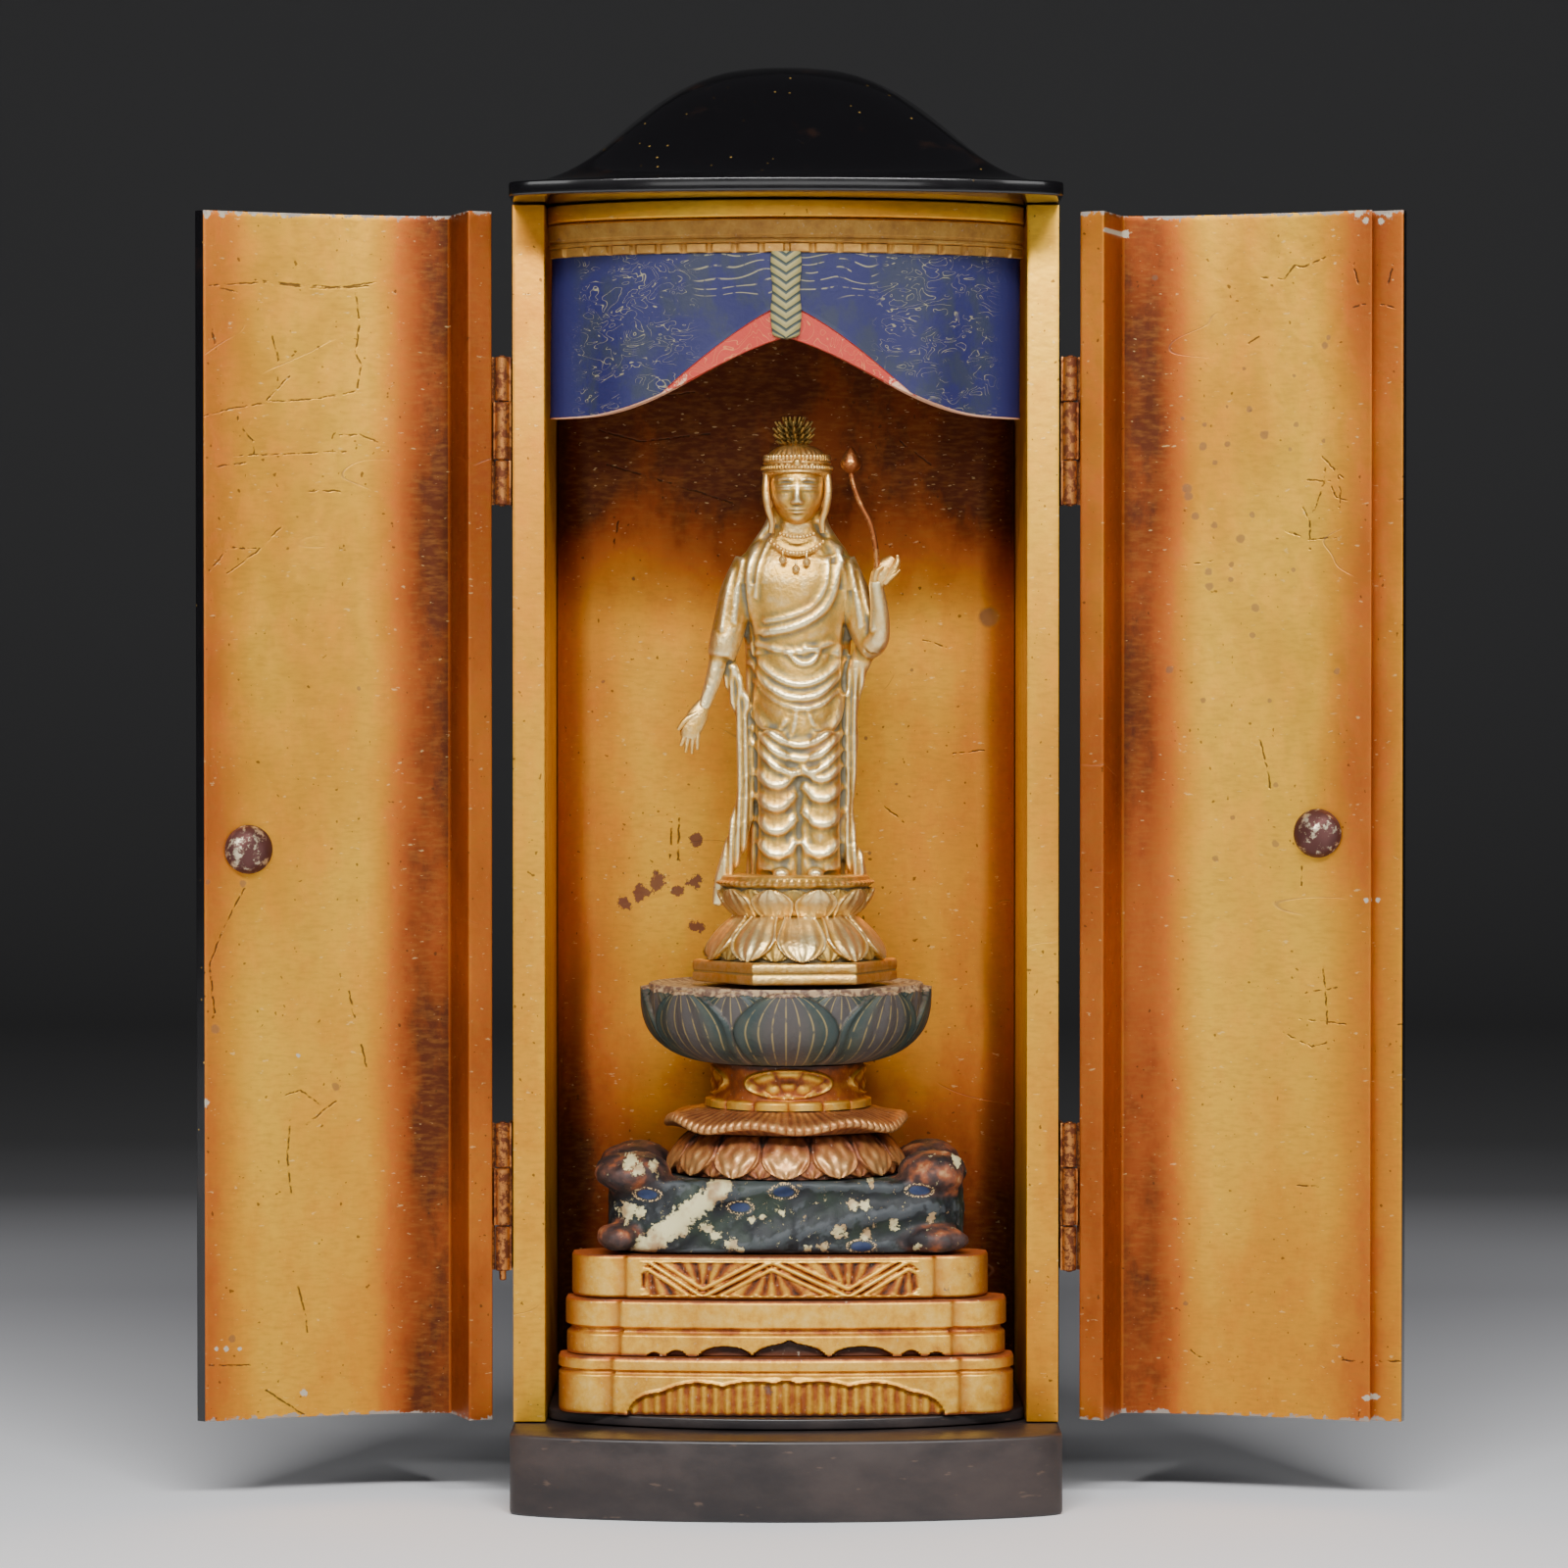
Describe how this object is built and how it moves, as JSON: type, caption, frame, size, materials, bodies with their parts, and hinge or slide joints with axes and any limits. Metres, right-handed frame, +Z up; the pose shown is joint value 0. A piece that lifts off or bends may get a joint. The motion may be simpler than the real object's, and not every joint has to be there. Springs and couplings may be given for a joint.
{
  "type": "portable shrine",
  "caption": "Lacquered domed shrine case with two curved gilt doors, a carved valance and a cast figure on a lotus base and carved stands.",
  "frame": {"origin": "middle of the plinth's flat underside, half way between its widest front and its back", "axes": "+Z up, the open front faces -Y, +X to the right of someone who looks at the front"},
  "size_m": [0.3001, 0.1058, 0.3592],
  "materials": {
    "black_lacquer": "glossy black lacquer with fine gold dust",
    "gilt_wood": "aged gold leaf on lacquered wood",
    "painted_curtain": "carved wood painted ultramarine with gold line scrolls and a red lining",
    "carved_gilt": "carved wood with rubbed gold leaf over red-brown ground",
    "painted_rock": "carved wood painted dark blue-green with flaking cream ground",
    "green_lotus": "carved wood painted dark green with gold veins",
    "gilt_bronze": "cast bronze with worn gilding",
    "copper": "aged copper alloy",
    "stud_metal": "tarnished silvery metal with brown patina"
  },
  "bodies": {
    "case": {"plinth": "black_lacquer", "floor_board": "black_lacquer", "side_left": "gilt_wood", "side_right": "gilt_wood", "back_board": "gilt_wood", "ceiling_board": "gilt_wood", "roof": "black_lacquer", "valance": "painted_curtain", "tier_lower": "carved_gilt", "tier_middle": "carved_gilt", "tier_upper": "carved_gilt", "rockwork": "painted_rock", "reversed_lotus": "carved_gilt", "leaf_disc": "carved_gilt", "drum": "carved_gilt", "lotus_seat": "green_lotus", "figure": "gilt_bronze", "lotus_stem": "copper", "hinge_case_leaf_left_upper": "copper", "hinge_case_leaf_left_lower": "copper", "hinge_case_leaf_right_upper": "copper", "hinge_case_leaf_right_lower": "copper", "hinge_pin_left_upper": "copper", "hinge_pin_left_lower": "copper", "hinge_pin_right_upper": "copper", "hinge_pin_right_lower": "copper"},
    "door_left": {"door_left": "gilt_wood", "stud_left": "stud_metal", "hinge_door_leaf_left_upper": "copper", "hinge_door_leaf_left_lower": "copper"},
    "door_right": {"door_right": "gilt_wood", "stud_right": "stud_metal", "hinge_door_leaf_right_upper": "copper", "hinge_door_leaf_right_lower": "copper"}
  },
  "joints": [
    {"name": "door_left_hinge", "type": "hinge", "parent": "case", "child": "door_left", "pos_m": [-0.0705, -0.02325, 0.17], "axis": [0, 0, 1], "range_deg": [-20, 157.5]},
    {"name": "door_right_hinge", "type": "hinge", "parent": "case", "child": "door_right", "pos_m": [0.0705, -0.02325, 0.17], "axis": [0, 0, -1], "range_deg": [-20, 157.5]}
  ]
}
